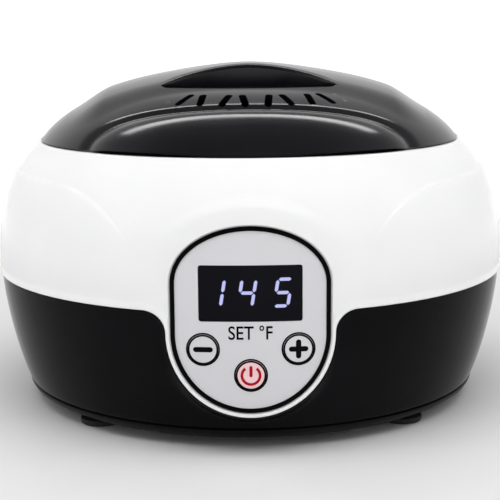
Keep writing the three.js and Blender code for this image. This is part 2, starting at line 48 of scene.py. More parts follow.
MERGE = 0.004  # points closer together than this become one
BODY_COLUMNS = 336  # columns of the body's grids outside the front patch
LID_COLUMNS = 480  # columns of the lid's grids all round

# --- driving dimensions, the same as in the CAD ---
GAP = 0.3
WALL = 2.5
BASE_TOP = 7.8
LOWER_FOOT = BASE_TOP + GAP
SEAM_Z = 54.5
DECK_Z = 108.2
LID_EDGE_Z = 108.6
BODY = np.array([[2.5, 90.6], [8, 96.4], [15, 99], [28, 102.8], [44, 105.6], [60, 107.5], [78, 105.6],
                 [96, 99], [108.2, 89.7]])
DOME = np.array([[88.5, 108.6], [82, 115.5], [72, 122.2], [60, 127.7], [45, 131.2], [22, 133.2], [0, 133.6]])

PANEL_Y = -104
PANEL_R = 160
PANEL_AXIS_Y = PANEL_Y + PANEL_R
BEZEL_HALF = 29
BEZEL_LOW_Z = 45.8
BEZEL_HIGH_Z = 64.5
BEZEL_RISE = 21
BEZEL_WIDTH = 1.5
TONGUE_R = 31
TONGUE_FILLET = 8.5
WINDOW_HALF = 18.8
WINDOW_LOW = 50.8
WINDOW_HIGH = 71.5
MINUS_KEY = (-17.3, 40.5)
PLUS_KEY = (17.3, 40.5)
POWER_KEY = (0, 30.9)
KEY_R = 5.6
KEY_HOLE_R = 5.9

WELL_R = 72
WELL_FLOOR_Z = 44
WELL_WALL = 1.2
FLANGE_R = 86
FLANGE_Z = 105.6
LEDGE_Z = 104.2
LEDGE_R = 76.5
POT_R = 70
POT_FLOOR_Z = 46.5
POT_WALL = 1.5
POT_RIM_R = 75.8
POT_RIM_Z = 107.1
EAR_HALF = 4
EAR_FACES = (70.6, 73.6)
BAIL_R = 68
BAIL_Z = 110.6
BAIL_WIRE = 1.5

GRIP_Z = 140
GRIP_DROP = 12
GRIP_HALF = 60
GRIP_WAIST = 13
RECESS_REACH = 45
RECESS_HALF = 36
RECESS_FLOOR = 117.5
LID_WALL = 2.3
LID_RING_R = 54  # the lid's grids meet on these three circles
VENT_RING_R = 67
LID_RIM_R = 88.5
SKIRT_R = 86.2  # the rib under the lid that sits inside the deck
SKIRT_INNER_R = 83.8
SKIRT_Z = 107.3
VENT_TURN = 2.7
VENT_PITCH = 15.75
VENT_HALF = 1.45
VENT_ENDS = ((56.5, 2.65), (64, 4))  # radius of a slot's end, and degrees from the middle of its pair
VENT_SECTOR = (-30, 36)

FOOT_RING = 85
FOOT_ANGLES = (45, 135, 225, 315)
SCREW_RING = 82
SCREW_ANGLES = (30, 150, 210, 330)
WELL_SCREW_RING = 79.8
WELL_SCREW_ANGLES = (60, 180, 300)
INLET_Y = 103.2
INLET_MIDDLE = (0, 30)
SOCKET_R = 4.6
SOCKET_HALF_GAP = 4.3
SOCKET_FLOOR_Y = 88

# --- dimensions of the looks alone ---
BROW_HALF = 66  # the arch over the lid's front: half width, foot, rise and squareness
BROW_FOOT_Z = 106
BROW_RISE = 20
BROW_POWER = 2.3
FRONT_HALF = 24  # degrees either side of the front that the body's front patches cover
SIDE_DEGREES = np.linspace(FRONT_HALF, 360 - FRONT_HALF, BODY_COLUMNS + 1)
PATCH_TOP = 101
CREASE_Z = 96.8  # the crease on each cheek: level at the sides, falling towards the front
CREASE_LEVEL = 60
CREASE_FALL = 20
PLATE_PROUD = -0.3  # layers of the panel, counted outwards from its curved front
WINDOW_PROUD = -0.42
DIGIT_PROUD = -0.38
PRINT_PROUD = -0.25
SEGMENT_WIDE = 5.0  # between the centre lines of a digit's upright segments
SEGMENT_HIGH = 9.8
SEGMENT_THICK = 1.2
SEGMENT_LEAN = 0.16
DIGIT_Z = 61.4

# --- smooth profiles ---
body_fit = np.polynomial.Polynomial.fit(BODY[1:, 0], BODY[1:, 1], 5)
dome_fit = np.polynomial.Polynomial.fit(DOME[:, 0] ** 2, DOME[:, 1], 5)


def smooth_step(low, high, value):
    share = np.clip((np.asarray(value, float) - low) / (high - low), 0, 1)
    return share * share * (3 - 2 * share)


def bump(centre, half_width, value):
    """1 at the centre, easing to 0 at half_width on either side."""
    return 1 - smooth_step(0, half_width, np.abs(np.asarray(value, float) - centre))


def turned_place(radius, degrees):
    """x and y on a circle, by the angle from the front towards the right."""
    angle = np.radians(degrees)
    return radius * np.sin(angle), -radius * np.cos(angle)


def signed(degrees):
    """The same angles, counted from -180 to 180."""
    return (degrees + 180) % 360 - 180


# --- lines ---
def arc(centre, radius, start, end, count):
    """Points from start to end degrees round a circle, or round an ellipse if radius is a pair."""
    angles = np.radians(np.linspace(start, end, count))
    return centre + np.multiply(radius, np.column_stack([np.cos(angles), np.sin(angles)]))


def circle_line(centre, radius, count=48):
    return arc(centre, radius, 0, 360, count + 1)[:-1]


def box_line(middle, half_x, half_z, fillet):
    """A rectangle with round corners."""
    corners = []
    for sx, sz, start in ((1, -1, -90), (1, 1, 0), (-1, 1, 90), (-1, -1, 180)):
        centre = (middle[0] + sx * (half_x - fillet), middle[1] + sz * (half_z - fillet))
        corners.append(arc(centre, fillet, start, start + 90, 6))
    return np.vstack(corners)


def bar_line(middle, length, thickness, standing=False, steps=9):
    """A bar with round ends."""
    half, r = length / 2, thickness / 2
    line = np.vstack([arc((half - r, 0), r, -90, 90, steps), arc((r - half, 0), r, 90, 270, steps)])
    if standing:
        line = line[:, ::-1] * [-1, 1]
    return line + middle


def rounded(corners, steps=5):
    """An outline of (u, v, fillet) corners, each rounded by a short arc that starts fillet away from it."""
    line = []
    for i, (u, v, fillet) in enumerate(corners):
        corner = np.array([u, v], float)
        if fillet == 0 or i in (0, len(corners) - 1):
            line.append(corner)
            continue
        before = np.array(corners[i - 1][:2], float) - corner
        after = np.array(corners[i + 1][:2], float) - corner
        start = corner + before / np.linalg.norm(before) * fillet
        end = corner + after / np.linalg.norm(after) * fillet
        for t in np.linspace(0, 1, steps + 1):
            line.append((1 - t) ** 2 * start + 2 * t * (1 - t) * corner + t * t * end)
    return np.array(line)


def turned_row(radius, z, degrees):
    """Points round the axis; radius and z are one number, or one for each point."""
    x, y = turned_place(radius, degrees)
    return np.stack([x, y, np.broadcast_to(z, x.shape)], axis=-1)


def upright(line, y):
    """A flat (x, z) line stood up at depth y, which is one number or one for each point."""
    return np.column_stack([line[:, 0], np.broadcast_to(y, len(line)), line[:, 1]])


def sideways(line, x):
    """A flat (y, z) line stood up at x."""
    return np.column_stack([np.full(len(line), x), line])


# --- meshes ---
def new_object(name, data):
    """Puts a mesh, curve, lamp or camera into the scene."""
    made = bpy.data.objects.new(name, data)
    bpy.context.scene.collection.objects.link(made)
    return made


class Surface:
    """Gathers grids and triangles, and becomes one smooth Blender mesh."""

    def __init__(self):
        self.points = []
        self.faces = []
        self.count = 0

    def add(self, points, faces):
        points = np.asarray(points, float).reshape(-1, 3)
        self.points.append(points)
        self.faces.extend([[self.count + i for i in face] for face in faces])
        self.count += len(points)

    def grid(self, points, closed=False):
        """Quads between points[row][column]; closed joins the last column to the first."""
        points = np.asarray(points, float)
        rows, columns = points.shape[:2]
        index = np.arange(rows * columns).reshape(rows, columns)
        if closed:
            index = np.column_stack([index, index[:, 0]])
        quads = np.stack([index[:-1, :-1], index[:-1, 1:], index[1:, 1:], index[1:, :-1]], axis=-1)
        self.add(points, quads.reshape(-1, 4).tolist())

    def make(self, name, body, slot, node=None, material=None, sharp_degrees=40):
        """Makes the piece, in its slot's finish unless it has its own; it replaces the node, if given."""
        mesh = bpy.data.meshes.new(name)
        mesh.from_pydata((np.concatenate(self.points) * MM).tolist(), [], self.faces)
        work = bmesh.new()
        work.from_mesh(mesh)
        bmesh.ops.remove_doubles(work, verts=work.verts, dist=MERGE * MM)
        bmesh.ops.recalc_face_normals(work, faces=work.faces)
        limit = math.radians(sharp_degrees)
        for edge in work.edges:
            if len(edge.link_faces) == 2 and edge.calc_face_angle(0) > limit:
                edge.smooth = False
        for face in work.faces:
            face.smooth = True
        work.to_mesh(mesh)
        work.free()
        mesh.materials.append(material or SLOT_FINISH[slot])
        piece = new_object(name, mesh)
        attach(piece, body)
        if node:
            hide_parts(node)


def lathe(surface, outline, segments, centre=(0, 0)):
    """Turns an outline of (radius, z) about a vertical axis through centre."""
    degrees = np.linspace(0, 360, segments, endpoint=False)
    rows = turned_row(outline[:, :1], outline[:, 1:], degrees[None, :])
    surface.grid(rows + [*centre, 0], closed=True)


def inside_loop(loop, points):
    """Even-odd test of points against a closed loop."""
    inside = np.zeros(len(points), bool)
    for (ax, ay), (bx, by) in zip(loop, np.roll(loop, -1, axis=0)):
        if ay == by:
            continue
        crosses = (points[:, 1] > min(ay, by)) & (points[:, 1] <= max(ay, by))
        inside ^= crosses & (points[:, 0] < ax + (points[:, 1] - ay) * (bx - ax) / (by - ay))
    return inside


def inner_field(outer, lines, spacing):
    """Evenly staggered points inside outer, clear of every given point."""
    low, high = outer.min(0), outer.max(0)
    across = np.arange(low[0], high[0], spacing)
    up = np.arange(low[1], high[1], spacing * 0.866)
    across, up = np.meshgrid(across, up)
    across[1::2] += spacing / 2
    field = np.column_stack([across.ravel(), up.ravel()])
    field = field[inside_loop(outer, field)]
    for chunk in np.array_split(lines, max(1, len(lines) // 200)):
        nearest = np.min(np.hypot(*(field[:, None] - chunk[None]).transpose(2, 0, 1)), axis=1)
        field = field[nearest > 0.55 * spacing]
    return field


def patch(outer, holes, guides, spacing):
    """Triangles over the flat region inside outer and outside the holes, with every guide line as edges."""
    points, edges = [], []
    for number, line in enumerate([outer, *holes, *guides]):
        start, count = len(points), len(line)
        links = count if number <= len(holes) else count - 1
        points.extend(line)
        edges.extend((start + i, start + (i + 1) % count) for i in range(links))
    field = inner_field(outer, np.array(points), spacing)
    found = delaunay_2d_cdt([Vector(p) for p in [*points, *field]], edges, [], 0, 1e-5)
    flat = np.array([tuple(p) for p in found[0]])
    triangles = np.array([list(face) for face in found[2]])
    middles = flat[triangles].mean(axis=1)
    keep = inside_loop(outer, middles)
    for hole in holes:
        keep &= ~inside_loop(hole, middles)
    return flat, triangles[keep].tolist()


# --- the lid ---
def grip_top(x, y):
    """Height of the pinch grip's ridge, falling to both ends and to its front and back."""
    return GRIP_Z - GRIP_DROP * np.abs(x / GRIP_HALF) ** 1.7 - 0.004 * y * y


def brow_share(x, z):
    """The brow's arch over the front: 1 on the arch itself, falling to 0 at the rim's middle."""
    across = np.abs(x / BROW_HALF) ** BROW_POWER
    up = (np.maximum(z - BROW_FOOT_Z, 0) / BROW_RISE) ** BROW_POWER
    return (across + up) ** (1 / BROW_POWER)


def lid_shape(x, y):
    """Height of the lid's skin before its brow is pressed in: the dome and the grip, softly joined."""
    dome = dome_fit(np.minimum(np.hypot(x, y), LID_RIM_R) ** 2)
    fall = 20 * smooth_step(58, 90, np.abs(x)) + 0.02 * np.maximum(np.abs(y) - 30, 0) ** 2
    grip = grip_top(x, y) - fall
    blend = 8
    near = np.maximum(blend - np.abs(dome - grip), 0) / blend
    return np.maximum(dome, grip) + near * near * blend / 4


def lid_skin(x, y, inset=0.0):
    """Points of the lid's outer skin, pushed along its normal by the brow's groove and bulge."""
    z = lid_shape(x, y)
    step = 0.2
    slope_x = (lid_shape(x + step, y) - lid_shape(x - step, y)) / (2 * step)
    slope_y = (lid_shape(x, y + step) - lid_shape(x, y - step)) / (2 * step)
    normal = np.stack([-slope_x, -slope_y, np.ones_like(z)], axis=-1)
    normal /= np.linalg.norm(normal, axis=-1, keepdims=True)
    share = brow_share(x, z)
    groove = -smooth_step(1.01, 0.94, share)
    run = np.clip((0.945 - share) / 0.3, 0, 1)
    bulge = 2.3 * (1 - (1 - run) ** 4) - 1.3 * smooth_step(0.65, 0.2, share)
    reach = smooth_step(20, 34, np.abs(y)) * smooth_step(58, 63, np.hypot(x, y))
    push = (groove + bulge) * reach - inset
    return np.stack([x, y, z], axis=-1) + normal * push[..., None]


def waist_y(x, margin):
    """Front edge of the grip, where the finger recess begins, as a negative y."""
    half = RECESS_HALF + 1.4 * margin
    control = RECESS_HALF - 2 * GRIP_WAIST + 2 * margin
    t = (1 - np.clip(x / half, -1, 1)) / 2
    return (t * t + (1 - t) ** 2) * -RECESS_HALF + 2 * t * (1 - t) * control


def recess_edges(x, margin):
    """y of the front ring, the recess's outer edge and its inner edge, on one column of the lid's middle."""
    half = RECESS_HALF + 1.4 * margin
    reach = RECESS_REACH + margin
    front = -math.sqrt(max(LID_RING_R ** 2 - x * x, 0))
    if abs(x) < half:
        outer = -reach + (reach - RECESS_HALF) * (x / half) ** 2
        inner = max(float(waist_y(x, margin)), outer)
    else:
        outer = inner = front * RECESS_HALF / math.sqrt(LID_RING_R ** 2 - half * half)
    outer = max(outer, front)
    return front, outer, max(inner, outer)


def recess_section(x, margin, inset):
    """One column of the lid's middle, from the front ring to the centre, through the finger recess."""
    front, outer, inner = recess_edges(x, margin)
    width = inner - outer
    edge_r = min(1.1, 0.2 * width)
    foot_r = min(4.0, 0.25 * width)
    lip_r = min(1.7, 0.2 * width)
    undercut = min(3.0, 0.12 * width) if margin == 0 else 0.0
    top_outer, top_inner = lid_shape(x, np.array([outer, inner])) - inset
    floor = max(RECESS_FLOOR - margin, min(top_outer, top_inner) - 1.1 * width)
    foot_outer, foot_inner = outer + foot_r, inner + undercut - foot_r
    lead = np.linspace(front, outer, 10)[:-1]
    ridge = np.linspace(inner + lip_r, 0, 20)[1:]
    line = np.vstack([
        np.column_stack([lead, lid_shape(x, lead) - inset]),
        arc((outer - edge_r, top_outer - edge_r), edge_r, 90, 0, 6),
        arc((foot_outer, floor + foot_r), foot_r, 180, 270, 6),
        [(y, floor) for y in np.linspace(foot_outer, foot_inner, 7)[1:-1]],
        arc((foot_inner, floor + foot_r), foot_r, 270, 360, 6),
        arc((inner + lip_r, top_inner - lip_r), lip_r, 180, 90, 6),
        np.column_stack([ridge, lid_shape(x, ridge) - inset]),
    ])
    return sideways(line, x)


def lid_middle(surface, margin, inset):
    """The grip with its two finger recesses, out to the lid's inner ring."""
    degrees = np.linspace(-90, 90, LID_COLUMNS // 2 + 1)
    columns = [recess_section(LID_RING_R * math.sin(math.radians(d)), margin, inset) for d in degrees]
    front = np.stack(columns, axis=1)
    surface.grid(front)
    surface.grid(front * [1, -1, 1])


def vent_ends(pair, side):
    """The centres of a vent slot's two round ends; the slots of a pair lean away from each other."""
    turn = VENT_TURN + pair * VENT_PITCH
    return [np.array(turned_place(radius, turn + side * away)) for radius, away in VENT_ENDS]


def vent_outline(inner, outer):
    """A vent slot in plan, with its long sides cut as finely as its ends."""
    along = outer - inner
    turn = math.degrees(math.atan2(along[1], along[0]))
    line = []
    for centre, other, start in ((outer, inner, turn - 90), (inner, outer, turn + 90)):
        end = arc(centre, VENT_HALF, start, start + 180, 10)
        side = [end[-1] + (other - centre) * t for t in np.linspace(0, 1, 12)[1:-1]]
        line.extend([*end, *side])
    return np.array(line)


def clear_of_vents(point, ends):
    for inner, outer in ends:
        along = outer - inner
        share = np.dot(point - inner, along) / np.dot(along, along)
        nearest = inner + along * min(max(share, 0), 1)
        if np.linalg.norm(point - nearest) < VENT_HALF + 0.6:
            return False
    return True


def brow_lines(level, degrees, ends):
    """One contour of the brow's arch across the vents' sector, broken where it meets a vent."""
    radii = np.linspace(LID_RING_R + 3, VENT_RING_R + 1, 60)
    lines = [[]]
    for turn in degrees:
        x, y = turned_place(radii, turn)
        r = np.interp(-level, -brow_share(x, lid_shape(x, y)), radii)
        point = np.array(turned_place(r, turn))
        if radii[0] + 0.3 < r < VENT_RING_R - 0.3 and clear_of_vents(point, ends):
            lines[-1].append(point)
        elif lines[-1]:
            lines.append([])
    return [np.array(line) for line in lines if len(line) > 1]


def vent_sector(ends, vents, radii, turns):
    """The flat triangles of the lid's sector that the vents pierce."""
    sides = [turned_place(LID_RING_R, turns), turned_place(radii, turns[-1]),
             turned_place(VENT_RING_R, turns[::-1]), turned_place(radii[::-1], turns[0])]
    outer = np.concatenate([np.column_stack(side)[:-1] for side in sides])
    levels = np.arange(0.93, 1.03, 0.01)
    contours = [line for level in levels for line in brow_lines(level, turns[1:-1], ends)]
    return patch(outer, vents, contours, 0.8)


def lid_rim(surface, degrees):
    """The skin outside the vents, the rounded rim, the rib under it, and the underside back to the vents."""
    radii = LID_RIM_R - (LID_RIM_R - VENT_RING_R) * np.linspace(1, 0, 64) ** 1.15
    skin = lid_skin(*turned_place(radii[:, None], degrees[None, :]))
    rim = skin[-1]
    rows = [skin]
    rim_r = np.hypot(rim[:, 0], rim[:, 1])
    rim_z = np.maximum(rim[:, 2], LID_EDGE_Z)
    for inward, up in ((0.1, 0.45), (0.45, 0.1), (1.0, 0), (2.2, 0)):
        rows.append(turned_row(rim_r - inward, rim_z + up, degrees)[None])
    rib = [(SKIRT_R, 108.5), (SKIRT_R, SKIRT_Z + 0.2), (SKIRT_R - 0.2, SKIRT_Z),
           (SKIRT_INNER_R + 0.2, SKIRT_Z), (SKIRT_INNER_R, SKIRT_Z + 0.2), (SKIRT_INNER_R, 110.6)]
    rows += [turned_row(r, z, degrees)[None] for r, z in rib]
    radii = np.linspace(83.2, VENT_RING_R, 24)
    rows.append(lid_skin(*turned_place(radii[:, None], degrees[None, :]), LID_WALL))
    surface.grid(np.concatenate(rows), closed=True)


def make_lid(material):
    surface = Surface()
    step = 360 / LID_COLUMNS
    first, last = (round(degrees / step) for degrees in VENT_SECTOR)
    radii = np.linspace(LID_RING_R, VENT_RING_R, 14)
    ends = [vent_ends(pair, side) for pair in (-1.5, -0.5, 0.5, 1.5) for side in (-1, 1)]
    vents = [vent_outline(inner, outer) for inner, outer in ends]
    flat, triangles = vent_sector(ends, vents, radii, np.arange(first, last + 1) * step)
    rest = np.arange(last, first + LID_COLUMNS + 1) * step
    x, y = turned_place(radii[:, None], rest[None, :])
    for margin, inset in ((0, 0), (WALL, LID_WALL)):
        lid_middle(surface, margin, inset)
        surface.grid(lid_skin(x, y, inset))
        surface.add(lid_skin(flat[:, 0], flat[:, 1], inset), triangles)
    for vent in vents:
        loop = np.vstack([vent, vent[:1]])
        surface.grid([lid_skin(loop[:, 0], loop[:, 1], depth) for depth in np.linspace(0, LID_WALL, 3)])
    lid_rim(surface, np.arange(LID_COLUMNS) * step)
    surface.make("lid_visual", "lid", "black_gloss", "lid_shell", material, sharp_degrees=50)


# --- the body's two shells ---
def seam_distance(x, z):
    """Distance above the seam between the shells, round the tongue as well; negative below it."""
    x = np.abs(x)
    low = SEAM_Z - TONGUE_FILLET
    beside = np.hypot(np.maximum(TONGUE_R + TONGUE_FILLET - x, 0), z - low) - TONGUE_FILLET
    return np.where(z < low, TONGUE_R - np.hypot(x, z - low), beside)


def seam_line(margin, reach):
    """The seam from left to right, moved down and out by margin, as far as x = reach."""
    low = SEAM_Z - TONGUE_FILLET
    corner = TONGUE_R + TONGUE_FILLET
    straight = [(x, SEAM_Z - margin) for x in np.linspace(-reach, -corner, 6)[:-1]]
    into = arc((-corner, low), TONGUE_FILLET - margin, 90, 0, 13)[:-1]
    under = arc((0, low), TONGUE_R + margin, 180, 270, 50)
    left = np.vstack([straight, into, under])
    return np.vstack([left, left[-2::-1] * [-1, 1]])


def panel_distance(x, z):
    """Distance outside the panel's outline; negative inside it."""
    below = np.hypot(x, z - BEZEL_LOW_Z) - BEZEL_HALF
    beside = np.abs(x) - BEZEL_HALF
    rise = np.maximum(z - BEZEL_HIGH_Z, 0)
    ratio = np.hypot(x / BEZEL_HALF, rise / BEZEL_RISE)
    slope = np.hypot(x / BEZEL_HALF ** 2, rise / BEZEL_RISE ** 2)
    above = ratio * (ratio - 1) / np.maximum(slope, 1e-6)
    return np.where(z < BEZEL_LOW_Z, below, np.where(z < BEZEL_HIGH_Z, beside, above))


def panel_outline(margin, spacing=1.0):
    """The panel's outline grown by margin, anticlockwise from the left side's foot."""
    half = BEZEL_HALF + margin
    count = round(90 / spacing)
    low = arc((0, BEZEL_LOW_Z), half, 180, 360, count)
    right = [(half, z) for z in np.linspace(BEZEL_LOW_Z, BEZEL_HIGH_Z, round(19 / spacing))[1:-1]]
    high = arc((0, BEZEL_HIGH_Z), (half, BEZEL_RISE + margin), 0, 180, count)
    left = [(-x, z) for x, z in right[::-1]]
    return np.vstack([low, right, high, left])


def panel_y(x, proud=0.0):
    """y of the panel's curved front, or of a layer that stands proud of it."""
    return PANEL_AXIS_Y - np.sqrt((PANEL_R + proud) ** 2 - np.asarray(x, float) ** 2)


def on_panel(line, proud, back=0.0):
    """A flat (x, z) line laid on the panel's curve, proud of it, and then moved back."""
    return upright(line, panel_y(line[:, 0], proud) + back)


def flare(distance):
    """The lip of the white shell, which stands out a little just above the seam."""
    return 0.75 * (1 - smooth_step(0.2, 3.0, distance))


def soft_edge(distance):
    """How far the white shell's edge is rounded back at this distance above the seam."""
    return 0.25 * (1 - smooth_step(0.1, 0.6, distance))


def crease_z(degrees):
    away = np.minimum(np.abs(degrees), CREASE_LEVEL)
    return CREASE_Z - CREASE_FALL * ((CREASE_LEVEL - away) / (CREASE_LEVEL - FRONT_HALF)) ** 3.8


def upper_radius(degrees, z):
    """Outside radius of the white shell away from the panel, with its crease and its edge at the seam."""
    away = np.abs(degrees)
    below = crease_z(away) - z
    cheek = 0.85 * smooth_step(-0.7, 0.7, below) * np.exp(-np.maximum(below, 0) / 14)
    fade = smooth_step(FRONT_HALF, FRONT_HALF + 12, away)
    return body_fit(z) + cheek * fade + flare(z - SEAM_Z) - soft_edge(z - SEAM_Z)


def upper_front(x, z):
    """y of the white shell round the panel: a boss that runs out into the turned body."""
    seam = seam_distance(x, z)
    radius = body_fit(z) + flare(seam)
    turned = -np.sqrt(radius ** 2 - x ** 2)
    away = np.maximum(panel_distance(x, z), 0)
    rise = np.maximum(z - BEZEL_HIGH_Z, 0)
    on_top = smooth_step(0.45, 0.8, rise / np.maximum(np.hypot(x, rise), 1e-6))
    start = 1.0 + 6.3 * on_top
    end = 13 - 3.0 * on_top
    boss = panel_y(x) + 1.3 * (away / 7.5) ** 2 * on_top - flare(seam)
    share = smooth_step(0, 1, (away - start) / (end - start))
    edge = 0.6 * (1 - smooth_step(0.1, 0.8, away))
    return boss + (turned - boss) * share + edge + soft_edge(seam)


def lower_inset(above_seam, z):
    """How far the black shell's skin lies inside its profile: most at its two edges."""
    return 0.15 + 0.3 * bump(0, 0.5, above_seam) + 0.3 * bump(LOWER_FOOT, 0.6, z)


def lower_radius(degrees, z):
    """Outside radius of the black shell, which is the same all round away from the panel."""
    return body_fit(z) - lower_inset(z - SEAM_Z, z) + 0 * degrees


def lower_front(x, z):
    """y of the black shell under and beside the tongue."""
    turned = -np.sqrt(body_fit(z) ** 2 - x ** 2)
    above = seam_distance(x, z)
    tongue = smooth_step(46, 30, np.abs(x))
    climb = 1 - smooth_step(0.3, 4.2, -above)
    proud = np.minimum(panel_y(x) + 0.5 - turned, 0)
    dip = 0.55 * bump(1.9, 1.9, -above) * tongue
    return turned + proud * climb * tongue + dip + lower_inset(above, z)


def body_grid(surface, heights, radius):
    """The skin round the side; heights is [row, column], and radius(signed degrees, heights) its outside."""
    around = signed(SIDE_DEGREES)[None, :] + 0 * heights
    surface.grid(turned_row(radius(around, heights), heights, SIDE_DEGREES[None, :]))


def side_edge(heights, radius):
    """The front patch's right side, as (x, z) points that meet the grid beside it."""
    x, _ = turned_place(radius(np.full(len(heights), FRONT_HALF), heights), FRONT_HALF)
    return np.column_stack([x, heights])


def patch_outline(seam, side, far):
    """Round a front patch: the seam, the right side, the far edge and the left side."""
    between = side[1:-1]
    return np.concatenate([seam, between, far, between[::-1] * [-1, 1]])


def upper_heights():
    """Rows of the white shell's side, drawn close together at the seam and along the crease."""
    crease = crease_z(signed(SIDE_DEGREES))
    near_seam = SEAM_Z + GAP / 2 + np.array([0, 0.15, 0.4, 0.8, 1.3, 1.9, 2.6, 3.4])
    rows = [np.full(len(SIDE_DEGREES), z) for z in near_seam]
    rows += [near_seam[-1] + (crease - 2 - near_seam[-1]) * t for t in np.linspace(0, 1, 24)[1:-1]]
    rows += [crease + d for d in (-2, -1.4, -1, -0.7, -0.4, -0.15, 0.15, 0.4, 0.7, 1, 1.5)]
    rows += [crease + 1.5 + (PATCH_TOP - crease - 1.5) * t for t in np.linspace(0, 1, 9)[1:]]
    return np.array(rows)


def upper_front_patch(surface, heights):
    """The white shell's front, with the panel's opening and both of its edges turned inwards."""
    side = side_edge(heights, upper_radius)
    reach = side[0, 0]
    degrees = np.linspace(FRONT_HALF, -FRONT_HALF, 49)
    top_x, _ = turned_place(upper_radius(degrees, np.full(49, PATCH_TOP)), degrees)
    seam = seam_line(-GAP / 2, reach)
    opening = panel_outline(0.12)
    outer = patch_outline(seam, side, np.column_stack([top_x, np.full(49, PATCH_TOP)]))
    guides = [seam_line(-GAP / 2 - m, reach - 0.4 - m) for m in (0.15, 0.4, 0.8)]
    guides += [panel_outline(m) for m in (0.4, 0.75)]
    flat, triangles = patch(outer, [opening], guides, 1.15)
    surface.add(upright(flat, upper_front(*flat.T)), triangles)
    for loop, closed in ((opening, True), (seam, False)):
        y = upper_front(*loop.T)
        surface.grid([upright(loop, y + depth) for depth in (0, 1.3, WALL)], closed=closed)


def make_upper_shell():
    surface = Surface()
    heights = upper_heights()
    body_grid(surface, heights, upper_radius)
    upper_front_patch(surface, heights[:, 0])
    edge = upper_radius(180, SEAM_Z + GAP / 2)
    surface.grid([turned_row(edge - back, SEAM_Z + GAP / 2, SIDE_DEGREES) for back in (0, WALL)])

    around = np.concatenate([np.linspace(-FRONT_HALF, FRONT_HALF, 49)[:-1], SIDE_DEGREES])
    rows = [turned_row(upper_radius(signed(around), z), z, around)
            for z in (PATCH_TOP, 102.5, 104, 105.5, 106.8)]
    deck = rounded([(90.75, 107.1, 0), (89.9, DECK_Z, 0.9), (86.9, DECK_Z, 0.5), (86.9, LEDGE_Z, 0.4),
                    (LEDGE_R, LEDGE_Z, 0.5), (LEDGE_R, LEDGE_Z - WALL, 0)])
    rows += [turned_row(r, z, around) for r, z in deck[1:]]
    surface.grid(rows)
    surface.make("upper_shell_visual", "casing", "white_gloss", "upper_shell")


def make_lower_shell():
    surface = Surface()
    near_top = SEAM_Z - GAP / 2 - np.array([0, 0.15, 0.4, 0.9, 1.6])
    middle = np.linspace(near_top[-1], LOWER_FOOT + 0.8, 26)[1:]
    heights = np.concatenate([near_top, middle, LOWER_FOOT + np.array([0.4, 0.12, 0])])
    body_grid(surface, np.repeat(heights[:, None], len(SIDE_DEGREES), axis=1), lower_radius)

    side = side_edge(heights, lower_radius)
    reach, foot_x = side[0, 0], side[-1, 0]
    seam = seam_line(GAP / 2, reach)
    foot = np.column_stack([np.linspace(foot_x, -foot_x, 90), np.full(90, LOWER_FOOT)])
    guides = [seam_line(GAP / 2 + m, reach - 0.5 - 0.2 * m) for m in (0.3, 0.8, 1.5, 2.3, 3.2, 4.2, 5.0)]
    guides += [np.column_stack([np.linspace(0.6 - foot_x, foot_x - 0.6, 80), np.full(80, LOWER_FOOT + m)])
               for m in (0.12, 0.4, 0.8)]
    flat, triangles = patch(patch_outline(seam, side, foot), [], guides, 1.2)
    surface.add(upright(flat, lower_front(*flat.T)), triangles)

    surface.grid([upright(seam, lower_front(*seam.T) + depth) for depth in (0, 1.3, WALL)])
    for z in (SEAM_Z - GAP / 2, LOWER_FOOT):
        radius = lower_radius(SIDE_DEGREES, z)
        surface.grid([turned_row(radius - back, z, SIDE_DEGREES) for back in (0, WALL)])
    surface.grid([upright(foot, lower_front(*foot.T) + depth) for depth in (0, WALL)])
    surface.make("lower_shell_visual", "casing", "black_gloss", "lower_shell")


def make_base_plate(material):
    surface = Surface()
    outline = rounded([(0, 2.5, 0), (88, 2.5, 2), (92.5, 3.6, 1.5), (95.6, 5.6, 1.2),
                       (96.5, BASE_TOP - 0.3, 0.4), (96.0, BASE_TOP, 0.2), (93.6, BASE_TOP, 0)])
    lathe(surface, outline, 180)
    surface.make("base_plate_visual", "casing", "moulded_black", "base_plate", material)


# --- the control panel ---
def make_bezel(material):
    """A ring that stands proud of the panel; its section is (margin, proud) from the outside inwards."""
    surface = Surface()
    section = [(0, -4), (0, 0.05), (-0.1, 0.25), (-0.3, 0.38), (-0.55, 0.42), (-0.95, 0.42), (-1.2, 0.38),
               (-1.4, 0.25), (-BEZEL_WIDTH, 0.05), (-BEZEL_WIDTH, -3)]
    surface.grid([on_panel(panel_outline(margin, 0.8), proud) for margin, proud in section], closed=True)
    surface.make("bezel_visual", "casing", "black_gloss", "panel_bezel", material)


def window_line(margin):
    """The display window's outline shrunk by margin, cut finely enough to follow the panel's curve."""
    middle = (0, (WINDOW_LOW + WINDOW_HIGH) / 2)
    line = box_line(middle, WINDOW_HALF - margin, (WINDOW_HIGH - WINDOW_LOW) / 2 - margin, 0.9 - margin)
    dense = []
    for a, b in zip(line, np.roll(line, -1, axis=0)):
        count = max(1, round(math.hypot(*(b - a)) / 1.5))
        dense += [a + (b - a) * i / count for i in range(count)]
    return np.array(dense)


def wrapped_sheet(surface, outer, holes, proud, depth):
    """A sheet that follows the panel's curve, with its own edges going back by depth."""
    flat, triangles = patch(outer, holes, [], 1.3)
    surface.add(on_panel(flat, proud), triangles)
    for loop in (outer, *holes):
        surface.grid([on_panel(loop, proud, back) for back in (0, depth)], closed=True)


def make_panel_plate():
    surface = Surface()
    holes = [circle_line(key, KEY_HOLE_R) for key in (MINUS_KEY, PLUS_KEY, POWER_KEY)]
    wrapped_sheet(surface, panel_outline(-BEZEL_WIDTH - 0.1), [*holes, window_line(0)], PLATE_PROUD, 2)
    surface.make("panel_plate_visual", "casing", "panel_grey", "panel_plate")


